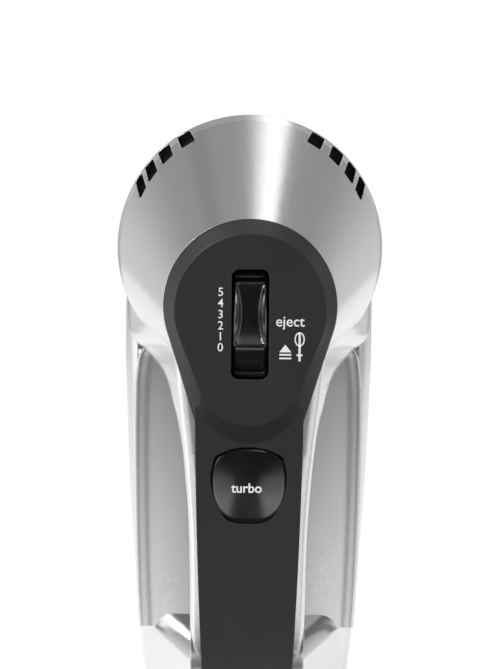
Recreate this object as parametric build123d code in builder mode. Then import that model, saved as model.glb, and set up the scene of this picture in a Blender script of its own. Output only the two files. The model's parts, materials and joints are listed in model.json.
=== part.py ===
"""Hand mixer, standing on its heel: nose up (+Z), handle towards -Y, beaters towards +Y.

Millimetres. X is across the mixer, x = 0 is its middle plane and z = 0 is the surface it stands on.
"""
from build123d import *
import math
import os

os.makedirs("parts", exist_ok=True)

# ---------------------------------------------------------------- driving dimensions
# Housing
rim_radius = 44.3          # widest ring of the round head
rim_y = -18.0
head_z = 155.0             # centre of the head
panel_radius = 27.3        # flat top of the head, under the handle cover
panel_y = -66.0
panel_z = 134.6
rim_ease = 0.07            # share of the cone's height that rounds the rim off
underside_y = 62.0
parting_y = 18.0           # where the two housing shells meet
wall = 2.5
heel_z = 0.8               # heel wall; the rubber feet stand proud of it
deck_y = -10.0             # top of the motor housing beside the finger opening
deck_fillet = 14.0
underside_fillet = 14.0
trough_radius = 91.0       # hollow under the fingers
trough_y = 2.0
tail_front_half = 41.9     # motor housing half-widths at its front, middle and heel
tail_middle_half = 39.4
tail_heel_half = 33.5
tail_front_z = 152.0
tail_middle_z = 61.0

# Handle
handle_inner_y = -36.0     # finger side of the grip
opening_bottom_z = 28.0
opening_top_z = 112.0
opening_corner = 12.0
heel_arc = 24.0
grip_top_fillet = 3.0
grip_inner_fillet = 8.0
handle_post_y = -6.0

# Exhaust slots on each side of the nose, as angles from the nose: the slot's start and end
# at its outer radius, then at its inner radius
vents = (
    (28.0, 34.3, 28.0, 35.7),
    (38.6, 45.0, 40.9, 47.8),
    (48.3, 53.6, 51.6, 58.7),
    (56.2, 61.0, 61.2, 67.8),
)
vent_outer_radius = 43.8
vent_inner_radius = 39.3
vent_corner = 0.4
vent_bottom_y = -8.0
vent_depth = 24.0
liner_bottom_y = 4.0
liner_height = 17.5
liner_reach = 12.0
liner_thickness = 1.8
vent_floor = 3.5

# Handle cover and its controls
cover_proud = 2.0
plateau_radius = 23.7
plateau_z = 133.3
plateau_y = -69.5
plateau_tail_radius = 16.5
plateau_tail_z = 113.8
strip_front_half = 17.0
strip_middle_half = 15.6
strip_front_z = 101.0
window_half = 5.9
window_z = 128.8
window_length = 34.3
window_corner = 2.5
turbo_z = 78.5
turbo_top_half = 10.4
turbo_widest_half = 11.7
turbo_height = 23.4
control_gap = 0.3          # round the turbo button

# Speed wheel and ejector
wheel_radius = 25.0
wheel_axis_y = -45.5
wheel_half = 5.6
wheel_back_angle = -88.0   # the wheel's sector, measured from straight out of the window
wheel_front_angle = 50.0
ridge_angle = -15.3        # thumb ridge, at the lowest speed number
wheel_pin_radius = 1.5
bridge_y = -24.0
bridge_thickness = 3.0
pusher_radius = 3.0

# Motor and gears
motor_y = 31.0
shaft_radius = 2.5
beater_x = 18.0
spindle_z = 150.0
worm_pitch_radius = 6.0
gear_pitch_radius = 12.0
gear_teeth = 24
gear_module = 1.0
spindle_radius = 5.0
spindle_bore = 4.0
running_gap = 0.05         # radial, shafts in bushes and bearings
gearbox_top_y = 18.5

# Beaters
shank_radius = 3.9
blade_radius = 24.0
blade_width = 5.0
blade_thickness = 1.2
blade_start_y = 84.0
blade_end_y = 188.0
blade_corner = 14.0
shank_top_y = 22.0

# Mains inlet
gland_bore = 3.6
gland_length = 12.0


def facing(y):
    """Plane at depth y that looks out of the handle side, with sketch axes X and Z."""
    return Plane.XZ.offset(-y)


def both_sides(x):
    return (-x, x)


# ---------------------------------------------------------------- housing shapes
# Rings of the head's slanted cone as (y, z, radius), with a narrow band that eases the rim
cone_rings = [
    (rim_y + rim_ease * (rim_y - panel_y), head_z, rim_radius),
    (
        rim_y + rim_ease * (panel_y - rim_y),
        head_z + rim_ease * (panel_z - head_z),
        rim_radius + rim_ease * (panel_radius - rim_radius),
    ),
    (panel_y, panel_z, panel_radius),
]


def tail_solid(inset, top_y):
    """Motor housing from the heel to the head; inset makes the space inside its wall."""
    with BuildPart() as tail:
        with BuildSketch(facing(underside_y - inset)) as plan:
            with BuildLine():
                front = (tail_front_half - inset, tail_front_z)
                middle = (tail_middle_half - inset, tail_middle_z)
                heel = (tail_heel_half - inset, heel_z + 2 * inset)
                ThreePointArc(front, middle, heel)
                Line(heel, (-heel[0], heel[1]))
                ThreePointArc((-heel[0], heel[1]), (-middle[0], middle[1]), (-front[0], front[1]))
                Line((-front[0], front[1]), front)
            make_face()
            fillet(plan.vertices().group_by(Axis.Y)[0], radius=9)
        extrude(amount=underside_y - inset - top_y)
        fillet(tail.faces().sort_by(Axis.Y)[-1].edges(), radius=underside_fillet - inset)
    return tail.part


def head_solid(inset):
    """Round head: an upright ring below its rim and a slanted cone up to the panel."""
    with BuildPart() as head:
        with BuildSketch(facing(underside_y - inset)):
            with Locations((0, head_z)):
                Circle(rim_radius - inset)
        extrude(amount=underside_y - inset - cone_rings[0][0])
        fillet(head.faces().sort_by(Axis.Y)[-1].edges(), radius=underside_fillet - inset)
        for low, high in ((0, 1), (1, 2)):
            for ring in cone_rings[low : high + 1]:
                y, z, radius = ring
                with BuildSketch(facing(y + inset * (y == panel_y))):
                    with Locations((0, z)):
                        Circle(radius - inset)
            loft()
    return head.part


def handle_solid(inset):
    """Grip and rear post, cut by their side view and their top view."""
    with BuildPart() as handle:
        with BuildSketch(facing(handle_post_y)):
            with BuildLine():
                edge = Spline(
                    (24.0 - inset, 124),
                    (22.6 - inset, 106),
                    (20.7 - inset, 90),
                    (18.5 - inset, 62),
                    (18.0 - inset, 38),
                    (17.0 - inset, heel_z + inset),
                )
                mirror(edge, about=Plane.YZ)
                Line(edge @ 0, (-(edge @ 0).X, (edge @ 0).Y))
                Line(edge @ 1, (-(edge @ 1).X, (edge @ 1).Y))
            make_face()
        extrude(amount=handle_post_y - plateau_y)
        with BuildSketch(Plane.YZ.offset(-2 * rim_radius)) as side:
            with BuildLine():
                top = Spline(
                    (panel_y + inset, 88),
                    (panel_y + 0.7 + inset, 60),
                    (panel_y + 2 + inset, heel_z + heel_arc),
                    tangents=[(0, -1), (0.12, -1)],
                )
                Line((panel_y + inset, 124), top @ 0)
                heel = RadiusArc(top @ 1, (panel_y + heel_arc, heel_z + inset), -(heel_arc - inset))
                Polyline(
                    heel @ 1,
                    (handle_post_y, heel_z + inset),
                    (handle_post_y, opening_bottom_z - inset),
                    (handle_inner_y - inset, opening_bottom_z - inset),
                    (handle_inner_y - inset, opening_top_z + inset),
                    (rim_y, opening_top_z + inset),
                    (rim_y, 124),
                    (panel_y + inset, 124),
                )
            make_face()
            inner = side.vertices().filter_by(
                lambda v: abs(v.Z - heel_z) > 5 and abs(v.Y - handle_inner_y + inset) < 0.1
            )
            fillet(inner, radius=opening_corner + inset)
        extrude(amount=4 * rim_radius, mode=Mode.INTERSECT)
        if inset == 0:
            sides = handle.edges().filter_by(lambda e: abs(e.center().X) > 10)
            fillet(sides.filter_by(lambda e: e.center().Y < panel_y + 8), radius=grip_top_fillet)
            fillet(
                handle.edges().filter_by(
                    lambda e: abs(e.center().X) > 10
                    and handle_inner_y - 3 < e.center().Y < handle_post_y - 1
                    and 10 < e.center().Z < opening_top_z - 1
                ),
                radius=grip_inner_fillet,
            )
    return handle.part


def post_solid(inset):
    """Foot of the rear post, widening from the grip to the motor housing."""
    with BuildPart() as post:
        for y, half, top_z in ((-42, 16.5, 24), (0, 34, 33)):
            with BuildSketch(facing(y)):
                with Locations((0, (top_z + heel_z) / 2)):
                    RectangleRounded(2 * (half - inset), top_z - heel_z - 2 * inset, 6)
        loft()
    return post.part


# Outer shape of the closed housing
with BuildPart() as outer:
    add(tail_solid(0, deck_y))
    fillet(outer.faces().sort_by(Axis.Y)[0].edges(), radius=deck_fillet)
    with BuildSketch(Plane.XY.offset(opening_bottom_z)):
        with Locations((0, trough_y - trough_radius)):
            Circle(trough_radius)
    extrude(amount=head_z, mode=Mode.SUBTRACT)
    add(post_solid(0))
    add(handle_solid(0))
    add(head_solid(0))

# Space inside its walls
with BuildPart() as inside:
    add(tail_solid(wall, trough_y + wall + 0.5))
    add(handle_solid(wall))
    add(head_solid(wall))


def window_shape(clearance=0):
    """Opening of the speed wheel."""
    with BuildSketch() as window:
        with Locations((0, window_z)):
            RectangleRounded(
                2 * (window_half + clearance), window_length + 2 * clearance, window_corner
            )
    return window.sketch


def turbo_shape(clearance=0):
    """Shield outline of the turbo button: a shallow arched top over a round bottom."""
    low = turbo_z - turbo_height / 2 - clearance
    high = turbo_z + turbo_height / 2 + clearance
    with BuildSketch() as shield:
        with BuildLine():
            top = ThreePointArc(
                (-turbo_top_half - clearance, high - 3), (0, high), (turbo_top_half + clearance, high - 3)
            )
            side = Spline(
                top @ 1,
                (turbo_widest_half + clearance, turbo_z + 2.5),
                (turbo_widest_half * 0.72 + clearance, low + 3.6),
                (0, low),
                tangents=[(0.25, -1), (-1, 0)],
            )
            mirror(side, about=Plane.YZ)
        make_face()
        fillet(shield.vertices().group_by(Axis.Y)[-1], radius=2)
    return shield.sketch


def vent_corners(side, angles, clearance):
    """The four corners of one exhaust slot, in order round it."""
    outer_start, outer_end, inner_start, inner_end = angles
    trim = math.degrees(clearance / vent_inner_radius)
    places = (
        (vent_outer_radius - clearance, outer_start + trim),
        (vent_outer_radius - clearance, outer_end - trim),
        (vent_inner_radius + clearance, inner_end - trim),
        (vent_inner_radius + clearance, inner_start + trim),
    )
    return [
        (
            side * radius * math.sin(math.radians(angle)),
            head_z + radius * math.cos(math.radians(angle)),
        )
        for radius, angle in places
    ]


def vent_shape(clearance=0):
    """Exhaust slots round the nose, seen from the handle side."""
    with BuildSketch() as slots:
        for angles in vents:
            for side in (-1, 1):
                with BuildLine():
                    Polyline(vent_corners(side, angles, clearance), close=True)
                make_face()
        fillet(slots.vertices(), radius=vent_corner)
    return slots.sketch


# Screw places as (x, z); each pair mirrors across the middle plane
housing_screw_places = [(x, z) for z, half in ((16.0, 22.0), (112.0, 31.0)) for x in both_sides(half)]
foot_places = [(x, y) for y, half in ((-22.0, 13.0), (40.0, 20.0)) for x in both_sides(half)]
foot_places.append((0, 0))
foot_radius = 4.5
foot_height = 2.6
spindle_hole = 8.6
boss_radius = 3.6
screw_radius = 1.5
screw_head_radius = 2.8
screw_seat_y = 24.0
screw_length = 16.0


def feet_pockets():
    with BuildPart() as pockets:
        with BuildSketch(Plane.XY):
            with Locations(*foot_places):
                Circle(foot_radius)
        extrude(amount=foot_height)
    return pockets.part


board_screw_places = [(-9, 56), (9, 94)]
board_screw_radius = 1.0
board_post_radius = 2.5
board_y = -44.0
board_thickness = 1.6

# Gland axis leaves the rear of the handle, half way down the heel's arc
gland_direction = Vector(0, -1, -1).normalized()
gland_face = Vector(0, panel_y + heel_arc, heel_z + heel_arc) + gland_direction * heel_arc
gland_plane = Plane(origin=gland_face, x_dir=(1, 0, 0), z_dir=gland_direction)
gland_radius = 5.0
gland_flange_radius = 6.0
gland_flange = 1.2

# ---------------------------------------------------------------- housing shells
clear = 1.0                # how far cutters start outside what they cut

with BuildPart() as space:
    add(inside.part)
    with BuildSketch(facing(underside_y)):
        with Locations(*housing_screw_places):
            Circle(boss_radius)
    extrude(amount=underside_y - trough_y, mode=Mode.SUBTRACT)
    with BuildSketch(gland_plane.offset(-gland_length)):
        Circle(gland_radius + 2)
    extrude(amount=gland_length, mode=Mode.SUBTRACT)
    with BuildSketch(facing(handle_inner_y)):
        with Locations(*board_screw_places):
            Circle(board_post_radius)
    extrude(amount=handle_inner_y - board_y - board_thickness, mode=Mode.SUBTRACT)
    with BuildSketch(facing(handle_inner_y - wall)):
        with Locations(*board_screw_places):
            Circle(board_screw_radius)
    extrude(amount=handle_inner_y - wall - board_y)

with BuildPart() as shells:
    add(outer.part)
    add(feet_pockets(), mode=Mode.SUBTRACT)
    with BuildSketch(gland_plane.offset(-gland_length - 2)):
        Circle(gland_radius)
    extrude(amount=gland_length + 6, mode=Mode.SUBTRACT)
    # beater sockets, screw holes and the motor's air inlet, from below
    with BuildSketch(facing(underside_y + clear)):
        with Locations(*[(x, spindle_z) for x in both_sides(beater_x)]):
            Circle(spindle_hole)
        with Locations((0, 44)):
            with GridLocations(7, 0, 6, 1):
                SlotOverall(26, 3, rotation=90)
    extrude(amount=wall + 2 * clear, mode=Mode.SUBTRACT)
    with BuildSketch(facing(underside_y + clear)):
        with Locations(*housing_screw_places):
            Circle(screw_head_radius + 0.3)
    extrude(amount=underside_y + clear - screw_seat_y, mode=Mode.SUBTRACT)
    with BuildSketch(facing(screw_seat_y + clear)):
        with Locations(*housing_screw_places):
            Circle(screw_radius)
    extrude(amount=screw_length, mode=Mode.SUBTRACT)
    # openings for the speed wheel and the turbo button
    with BuildSketch(facing(wheel_axis_y)):
        add(window_shape(clear))
    extrude(amount=30, mode=Mode.SUBTRACT)
    with BuildSketch(facing(wheel_axis_y - 6)):
        add(turbo_shape(control_gap))
    extrude(amount=20, mode=Mode.SUBTRACT)
    with BuildSketch(facing(vent_bottom_y)):
        add(vent_shape())
    extrude(amount=vent_depth, mode=Mode.SUBTRACT)
    add(space.part, mode=Mode.SUBTRACT)

with BuildPart() as upper_housing:
    add(shells.part)
    split(bisect_by=facing(parting_y), keep=Keep.TOP)
upper_housing.part.label = "upper_housing"
export_step(upper_housing.part, "parts/upper_housing.step")

with BuildPart() as lower_housing:
    add(shells.part)
    split(bisect_by=facing(parting_y), keep=Keep.BOTTOM)
lower_housing.part.label = "lower_housing"
export_step(lower_housing.part, "parts/lower_housing.step")

# ---------------------------------------------------------------- handle cover
with BuildPart() as handle_cover:
    # raised teardrop with a sloping edge round the speed wheel
    with BuildSketch(facing(panel_y)):
        with BuildLine():
            CenterArc((0, panel_z), panel_radius, 0, 360)
            CenterArc((0, strip_front_z), strip_front_half, 0, 360)
        make_hull()
    with BuildSketch(facing(plateau_y)):
        with BuildLine():
            CenterArc((0, plateau_z), plateau_radius, 0, 360)
            CenterArc((0, plateau_tail_z), plateau_tail_radius, 0, 360)
        make_hull()
    loft()
    # strip along the back of the grip
    with BuildSketch(facing(panel_y + 8)):
        with BuildLine():
            edge = Spline(
                (strip_front_half, strip_front_z + 2),
                (strip_middle_half, 50),
                (strip_middle_half - 1.5, heel_z + heel_arc * 0.8),
            )
            mirror(edge, about=Plane.YZ)
            Line(edge @ 0, (-(edge @ 0).X, (edge @ 0).Y))
            ThreePointArc(edge @ 1, (0, heel_z + heel_arc * 0.62), (-(edge @ 1).X, (edge @ 1).Y))
        make_face()
    strip = extrude(amount=12 + cover_proud, mode=Mode.PRIVATE)
    with BuildSketch(Plane.YZ.offset(-2 * rim_radius)):
        with BuildLine():
            top = Spline(
                (panel_y - cover_proud, 88),
                (panel_y + 0.7 - cover_proud, 60),
                (panel_y + 2 - cover_proud, heel_z + heel_arc),
                tangents=[(0, -1), (0.12, -1)],
            )
            Line((panel_y - cover_proud, 112), top @ 0)
            heel = RadiusArc(top @ 1, (panel_y + heel_arc, heel_z - cover_proud), -(heel_arc + cover_proud))
            Polyline(heel @ 1, (panel_y + heel_arc, 112), (panel_y - cover_proud, 112))
        make_face()
    side_view = extrude(amount=4 * rim_radius, mode=Mode.PRIVATE)
    add(strip & side_view)
    add(outer.part, mode=Mode.SUBTRACT)
    with BuildSketch(facing(panel_y + 2)):
        add(window_shape())
    extrude(amount=12, mode=Mode.SUBTRACT)
    with BuildSketch(facing(panel_y + 4)):
        add(turbo_shape(control_gap))
    extrude(amount=12, mode=Mode.SUBTRACT)
handle_cover.part.label = "handle_cover"
export_step(handle_cover.part, "parts/handle_cover.step")

# ---------------------------------------------------------------- vent liner
with BuildPart() as vent_liner:
    # band behind the exhaust slots, with a dark floor for each of them
    with BuildSketch(facing(liner_bottom_y)):
        with Locations((0, head_z)):
            Circle(rim_radius - wall - 0.1)
            Circle(rim_radius - wall - liner_thickness, mode=Mode.SUBTRACT)
        with Locations((0, head_z - rim_radius + liner_reach)):
            Rectangle(2.2 * rim_radius, 2 * rim_radius, mode=Mode.SUBTRACT)
    extrude(amount=liner_height)
    with BuildSketch(facing(vent_bottom_y - 0.1)):
        add(vent_shape(0.1))
        with Locations((0, head_z)):
            Circle(rim_radius - 0.5, mode=Mode.INTERSECT)
    extrude(amount=vent_floor)
vent_liner.part.label = "vent_liner"
export_step(vent_liner.part, "parts/vent_liner.step")

# ---------------------------------------------------------------- speed wheel and ejector
def on_wheel(angle, radius):
    """Point (y, z) of the speed wheel, measured from straight out of its window."""
    turn = math.radians(angle)
    return (wheel_axis_y - radius * math.cos(turn), window_z + radius * math.sin(turn))


wheel_hub_radius = 5.0
dish_depth = 3.0
dish_reach = 19.3
ridge_height = 0.7

with BuildPart() as speed_wheel:
    with BuildSketch(Plane.YZ.offset(-wheel_half)):
        with BuildLine():
            back = on_wheel(wheel_back_angle, wheel_radius)
            front = on_wheel(wheel_front_angle, wheel_radius)
            middle = on_wheel((wheel_back_angle + wheel_front_angle) / 2, wheel_radius)
            ThreePointArc(back, middle, front)
            Polyline(front, (wheel_axis_y, window_z), back)
        make_face()
        with Locations((wheel_axis_y, window_z)):
            Circle(wheel_hub_radius)
    extrude(amount=2 * wheel_half)
    # thumb ridge across the rim and a dish in front of it
    with BuildSketch(Plane.YZ.offset(-wheel_half + 0.8)):
        with BuildLine():
            Polyline(
                on_wheel(ridge_angle - 4, wheel_radius - 0.5),
                on_wheel(ridge_angle - 1, wheel_radius + ridge_height),
                on_wheel(ridge_angle + 1, wheel_radius + ridge_height),
                on_wheel(ridge_angle + 4, wheel_radius - 0.5),
                close=True,
            )
        make_face()
    extrude(amount=2 * wheel_half - 1.6)
    dish_radius = ((dish_reach / 2) ** 2 + dish_depth**2) / (2 * dish_depth)
    dish_angle = ridge_angle + 2 + math.degrees(math.asin(dish_reach / 2 / wheel_radius))
    with BuildSketch(Plane.YZ.offset(-wheel_half + 0.8)):
        with Locations(on_wheel(dish_angle, wheel_radius - dish_depth + dish_radius)):
            Circle(dish_radius)
    extrude(amount=2 * wheel_half - 1.6, mode=Mode.SUBTRACT)
    with BuildSketch(Plane.YZ.offset(-wheel_half - clear)):
        with Locations((wheel_axis_y, window_z)):
            Circle(wheel_pin_radius + running_gap)
    extrude(amount=2 * wheel_half + 2 * clear, mode=Mode.SUBTRACT)
speed_wheel.part.label = "speed_wheel"
export_step(speed_wheel.part, "parts/speed_wheel.step")

cheek_gap = 0.6
cheek = 1.8
cheek_half = wheel_half + cheek_gap + cheek

with BuildPart() as speed_wheel_pin:
    with BuildSketch(Plane.YZ.offset(-cheek_half)):
        with Locations((wheel_axis_y, window_z)):
            Circle(wheel_pin_radius)
    extrude(amount=2 * cheek_half)
speed_wheel_pin.part.label = "speed_wheel_pin"
export_step(speed_wheel_pin.part, "parts/speed_wheel_pin.step")

with BuildPart() as eject_carriage:
    # two cheeks that hold the wheel's pin
    for x in (-cheek_half, cheek_half - cheek):
        with BuildSketch(Plane.YZ.offset(x)):
            with BuildLine():
                Polyline(
                    (wheel_axis_y - 5, window_z - 6),
                    (bridge_y, window_z - 10),
                    (bridge_y, window_z + 14),
                    (wheel_axis_y - 5, window_z + 6),
                    close=True,
                )
            make_face()
            with Locations((wheel_axis_y, window_z)):
                Circle(wheel_pin_radius, mode=Mode.SUBTRACT)
        extrude(amount=cheek)
    # bridge that reaches over both beater spindles
    with BuildSketch(facing(bridge_y + bridge_thickness)):
        with BuildLine():
            Polyline(
                (-cheek_half, window_z - 10),
                (cheek_half, window_z - 10),
                (beater_x + 7, spindle_z - 4),
                (beater_x + 7, spindle_z + 7),
                (-beater_x - 7, spindle_z + 7),
                (-beater_x - 7, spindle_z - 4),
                close=True,
            )
        make_face()
    extrude(amount=bridge_thickness)
    with BuildSketch(facing(bridge_y + bridge_thickness + clear)):
        with Locations(*[(x, spindle_z) for x in both_sides(beater_x)]):
            Circle(pusher_radius - 1)
    extrude(amount=bridge_thickness + 2 * clear, mode=Mode.SUBTRACT)
eject_carriage.part.label = "eject_carriage"
export_step(eject_carriage.part, "parts/eject_carriage.step")

with BuildPart() as eject_pushers:
    with BuildSketch(facing(shank_top_y - 0.3)):
        with Locations(*[(x, spindle_z) for x in both_sides(beater_x)]):
            Circle(pusher_radius)
    extrude(amount=shank_top_y - 0.3 - bridge_y - bridge_thickness)
    with BuildSketch(facing(bridge_y + bridge_thickness)):
        with Locations(*[(x, spindle_z) for x in both_sides(beater_x)]):
            Circle(pusher_radius - 1)
    extrude(amount=bridge_thickness)
eject_pushers.part.label = "eject_pushers"
export_step(eject_pushers.part, "parts/eject_pushers.step")

eject_spring_radius = 5.6
eject_spring_wire = 0.5


def coil_spring(start, direction, radius, wire_radius, length, turns):
    """Open coil with its wire swept along a helix."""
    with BuildPart() as spring:
        with BuildLine():
            coil = Helix(
                pitch=length / turns, height=length, radius=radius, center=start, direction=direction
            )
        with BuildSketch(Plane(origin=coil @ 0, z_dir=coil % 0)):
            Circle(wire_radius)
        sweep(path=coil, is_frenet=True)
    return spring.part


with BuildPart() as eject_springs:
    for x in both_sides(beater_x):
        add(
            coil_spring(
                (x, bridge_y + bridge_thickness + eject_spring_wire, spindle_z),
                (0, 1, 0),
                eject_spring_radius,
                eject_spring_wire,
                gearbox_top_y - bridge_y - bridge_thickness - 2 * eject_spring_wire,
                8,
            )
        )
eject_springs.part.label = "eject_springs"
export_step(eject_springs.part, "parts/eject_springs.step")

# ---------------------------------------------------------------- turbo button
turbo_face_y = -67.6
turbo_flange_y = -62.3
turbo_flange = 1.2
turbo_stem_radius = 2.0
turbo_stem_end_y = -53.0
switch_top_y = -50.0

with BuildPart() as turbo_button:
    with BuildSketch(facing(turbo_flange_y)):
        add(turbo_shape())
    extrude(amount=turbo_flange_y - turbo_face_y)
    fillet(turbo_button.faces().sort_by(Axis.Y)[0].edges(), radius=0.8)
    with BuildSketch(facing(turbo_flange_y + turbo_flange)):
        add(turbo_shape(1.0))
    extrude(amount=turbo_flange)
    with BuildSketch(facing(turbo_stem_end_y)):
        with Locations((0, turbo_z)):
            Circle(turbo_stem_radius)
    extrude(amount=turbo_stem_end_y - turbo_flange_y)
turbo_button.part.label = "turbo_button"
export_step(turbo_button.part, "parts/turbo_button.step")

with BuildPart() as turbo_spring:
    add(
        coil_spring(
            (0, turbo_flange_y + turbo_flange + 0.4, turbo_z), (0, 1, 0), 3.4, 0.35,
            switch_top_y - turbo_flange_y - turbo_flange - 0.8, 5,
        )
    )
turbo_spring.part.label = "turbo_spring"
export_step(turbo_spring.part, "parts/turbo_spring.step")

with BuildPart() as turbo_microswitch:
    with BuildSketch(facing(board_y)):
        with Locations((0, turbo_z)):
            RectangleRounded(12.8, 11, 0.8)
    extrude(amount=board_y - switch_top_y)
    with BuildSketch(facing(switch_top_y)):
        with Locations((0, turbo_z)):
            Circle(1.2)
    extrude(amount=0.8)
turbo_microswitch.part.label = "turbo_microswitch"
export_step(turbo_microswitch.part, "parts/turbo_microswitch.step")

# ---------------------------------------------------------------- speed control board
with BuildPart() as speed_board:
    with BuildSketch(facing(board_y + board_thickness)):
        with Locations((0, 75)):
            RectangleRounded(24, 46, 1)
        with Locations(*board_screw_places):
            Circle(board_screw_radius, mode=Mode.SUBTRACT)
    extrude(amount=board_thickness)
speed_board.part.label = "speed_board"
export_step(speed_board.part, "parts/speed_board.step")

with BuildPart() as filter_capacitor:
    with BuildSketch(facing(board_y)):
        with Locations((3, 59)):
            RectangleRounded(14, 7, 1)
    extrude(amount=10)
filter_capacitor.part.label = "filter_capacitor"
export_step(filter_capacitor.part, "parts/filter_capacitor.step")

with BuildPart() as triac_heatsink:
    with BuildSketch(facing(board_y)):
        with Locations((-3, 92)):
            Rectangle(14, 1.2)
            with GridLocations(4, 0, 4, 1):
                Rectangle(1, 6)
    extrude(amount=11)
triac_heatsink.part.label = "triac_heatsink"
export_step(triac_heatsink.part, "parts/triac_heatsink.step")

with BuildPart() as board_screws:
    with BuildSketch(facing(handle_inner_y - wall)):
        with Locations(*board_screw_places):
            Circle(board_screw_radius)
    extrude(amount=handle_inner_y - wall - board_y)
    with BuildSketch(facing(board_y)):
        with Locations(*board_screw_places):
            Circle(2 * board_screw_radius)
    extrude(amount=1.3)
board_screws.part.label = "board_screws"
export_step(board_screws.part, "parts/board_screws.step")

# ---------------------------------------------------------------- motor
core_radius = 14.0
core_bottom_z = 56.0
core_length = 34.0
slots = 12
slot_ring = 11.4
slot_radius = 1.6
end_turn = 7.0
coil_x = 16.5
coil_thickness = 4.5
coil_half = 13.0
coil_leg = 4.0


def motor_plane(z):
    """Plane across the motor, with its origin on the motor's axis."""
    return Plane(origin=(0, motor_y, z), x_dir=(1, 0, 0), z_dir=(0, 0, 1))


def ring(z, length, outer_radius, inner_radius):
    """Plain ring about the motor's axis."""
    with BuildPart() as tube:
        with BuildSketch(motor_plane(z)):
            Circle(outer_radius)
            Circle(inner_radius, mode=Mode.SUBTRACT)
        extrude(amount=length)
    return tube.part


with BuildPart() as motor_shaft:
    with BuildSketch(motor_plane(27)):
        Circle(shaft_radius)
    extrude(amount=144)
    chamfer(motor_shaft.edges().filter_by(GeomType.CIRCLE), length=0.4)
motor_shaft.part.label = "motor_shaft"
export_step(motor_shaft.part, "parts/motor_shaft.step")

with BuildPart() as armature_core:
    with BuildSketch(motor_plane(core_bottom_z)):
        Circle(core_radius)
        Circle(shaft_radius, mode=Mode.SUBTRACT)
        with PolarLocations(slot_ring, slots):
            Circle(slot_radius, mode=Mode.SUBTRACT)
        with PolarLocations(core_radius, slots):
            Rectangle(4, 0.9, mode=Mode.SUBTRACT)
    extrude(amount=core_length)
armature_core.part.label = "armature_core"
export_step(armature_core.part, "parts/armature_core.step")

with BuildPart() as armature_winding:
    add(ring(core_bottom_z - end_turn, end_turn, core_radius - 1, 6))
    add(ring(core_bottom_z + core_length, end_turn, core_radius - 1, 6))
    outer_edges = armature_winding.edges().filter_by(
        lambda e: e.geom_type == GeomType.CIRCLE and e.radius > core_radius - 2
    )
    fillet([outer_edges.sort_by(Axis.Z)[0], outer_edges.sort_by(Axis.Z)[-1]], radius=3)
    with BuildSketch(motor_plane(core_bottom_z - 1)):
        with PolarLocations(slot_ring, slots):
            Circle(slot_radius - 0.05)
    extrude(amount=core_length + 2)
armature_winding.part.label = "armature_winding"
export_step(armature_winding.part, "parts/armature_winding.step")

commutator_radius = 8.5
commutator_z = 36.0
commutator_length = 10.0
with BuildPart() as commutator:
    with BuildSketch(motor_plane(commutator_z)):
        Circle(commutator_radius)
        Circle(shaft_radius, mode=Mode.SUBTRACT)
        with PolarLocations(commutator_radius, 2 * slots):
            Rectangle(1.4, 0.4, mode=Mode.SUBTRACT)
    extrude(amount=commutator_length)
commutator.part.label = "commutator"
export_step(commutator.part, "parts/commutator.step")

with BuildPart() as motor_stator:
    with BuildSketch(motor_plane(core_bottom_z)):
        RectangleRounded(52, 46, 5)
        Circle(core_radius + 0.8, mode=Mode.SUBTRACT)
        with Locations(
            *[
                (side * (coil_x + coil_thickness / 2), leg * (coil_half - coil_leg / 2))
                for side in (-1, 1)
                for leg in (-1, 1)
            ]
        ):
            Rectangle(coil_thickness + 0.4, coil_leg + 0.4, mode=Mode.SUBTRACT)
    extrude(amount=core_length)
motor_stator.part.label = "motor_stator"
export_step(motor_stator.part, "parts/motor_stator.step")

with BuildPart() as field_coils:
    for x in (-coil_x - coil_thickness, coil_x):
        with BuildSketch(Plane.YZ.offset(x)):
            with Locations((motor_y, core_bottom_z + core_length / 2)):
                RectangleRounded(2 * coil_half, core_length + 2 * coil_leg + 1, 1.5)
                Rectangle(2 * (coil_half - coil_leg), core_length + 1, mode=Mode.SUBTRACT)
        extrude(amount=coil_thickness)
field_coils.part.label = "field_coils"
export_step(field_coils.part, "parts/field_coils.step")

fan_z = 101.0
with BuildPart() as cooling_fan:
    with BuildSketch(motor_plane(fan_z)):
        Circle(20)
        Circle(shaft_radius, mode=Mode.SUBTRACT)
    extrude(amount=1.2)
    with BuildSketch(motor_plane(fan_z)):
        Circle(7)
        Circle(shaft_radius, mode=Mode.SUBTRACT)
        with PolarLocations(13.5, 11):
            with Locations(Location((0, 0), 25)):
                Rectangle(11, 1)
    extrude(amount=8)
cooling_fan.part.label = "cooling_fan"
export_step(cooling_fan.part, "parts/cooling_fan.step")

bearing_radius = 6.0
bearing_length = 5.0
rear_bearing_z = 28.0
front_bearing_z = 112.0
for name, z in (("rear", rear_bearing_z), ("front", front_bearing_z)):
    with BuildPart() as bearing:
        add(ring(z, bearing_length, bearing_radius, shaft_radius + running_gap))
    bearing.part.label = f"{name}_bearing"
    export_step(bearing.part, f"parts/{name}_bearing.step")

    with BuildPart() as bracket:
        with BuildSketch(motor_plane(z)):
            RectangleRounded(46, 50, 4)
            Circle(bearing_radius, mode=Mode.SUBTRACT)
            with GridLocations(26, 26, 2, 2):
                Circle(6, mode=Mode.SUBTRACT)
        extrude(amount=2)
        add(ring(z, bearing_length, bearing_radius + 2, bearing_radius))
    bracket.part.label = f"{name}_motor_bracket"
    export_step(bracket.part, f"parts/{name}_motor_bracket.step")

brush_z = commutator_z + commutator_length / 2
brush_inner_x = commutator_radius + 0.1
brush_length = 8.0
holder_end_x = 25.0


def brush_plane(x):
    """Plane across the brushes at x, with its origin on their axis."""
    return Plane(origin=(x, motor_y, brush_z), x_dir=(0, 1, 0), z_dir=(1, 0, 0))


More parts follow.
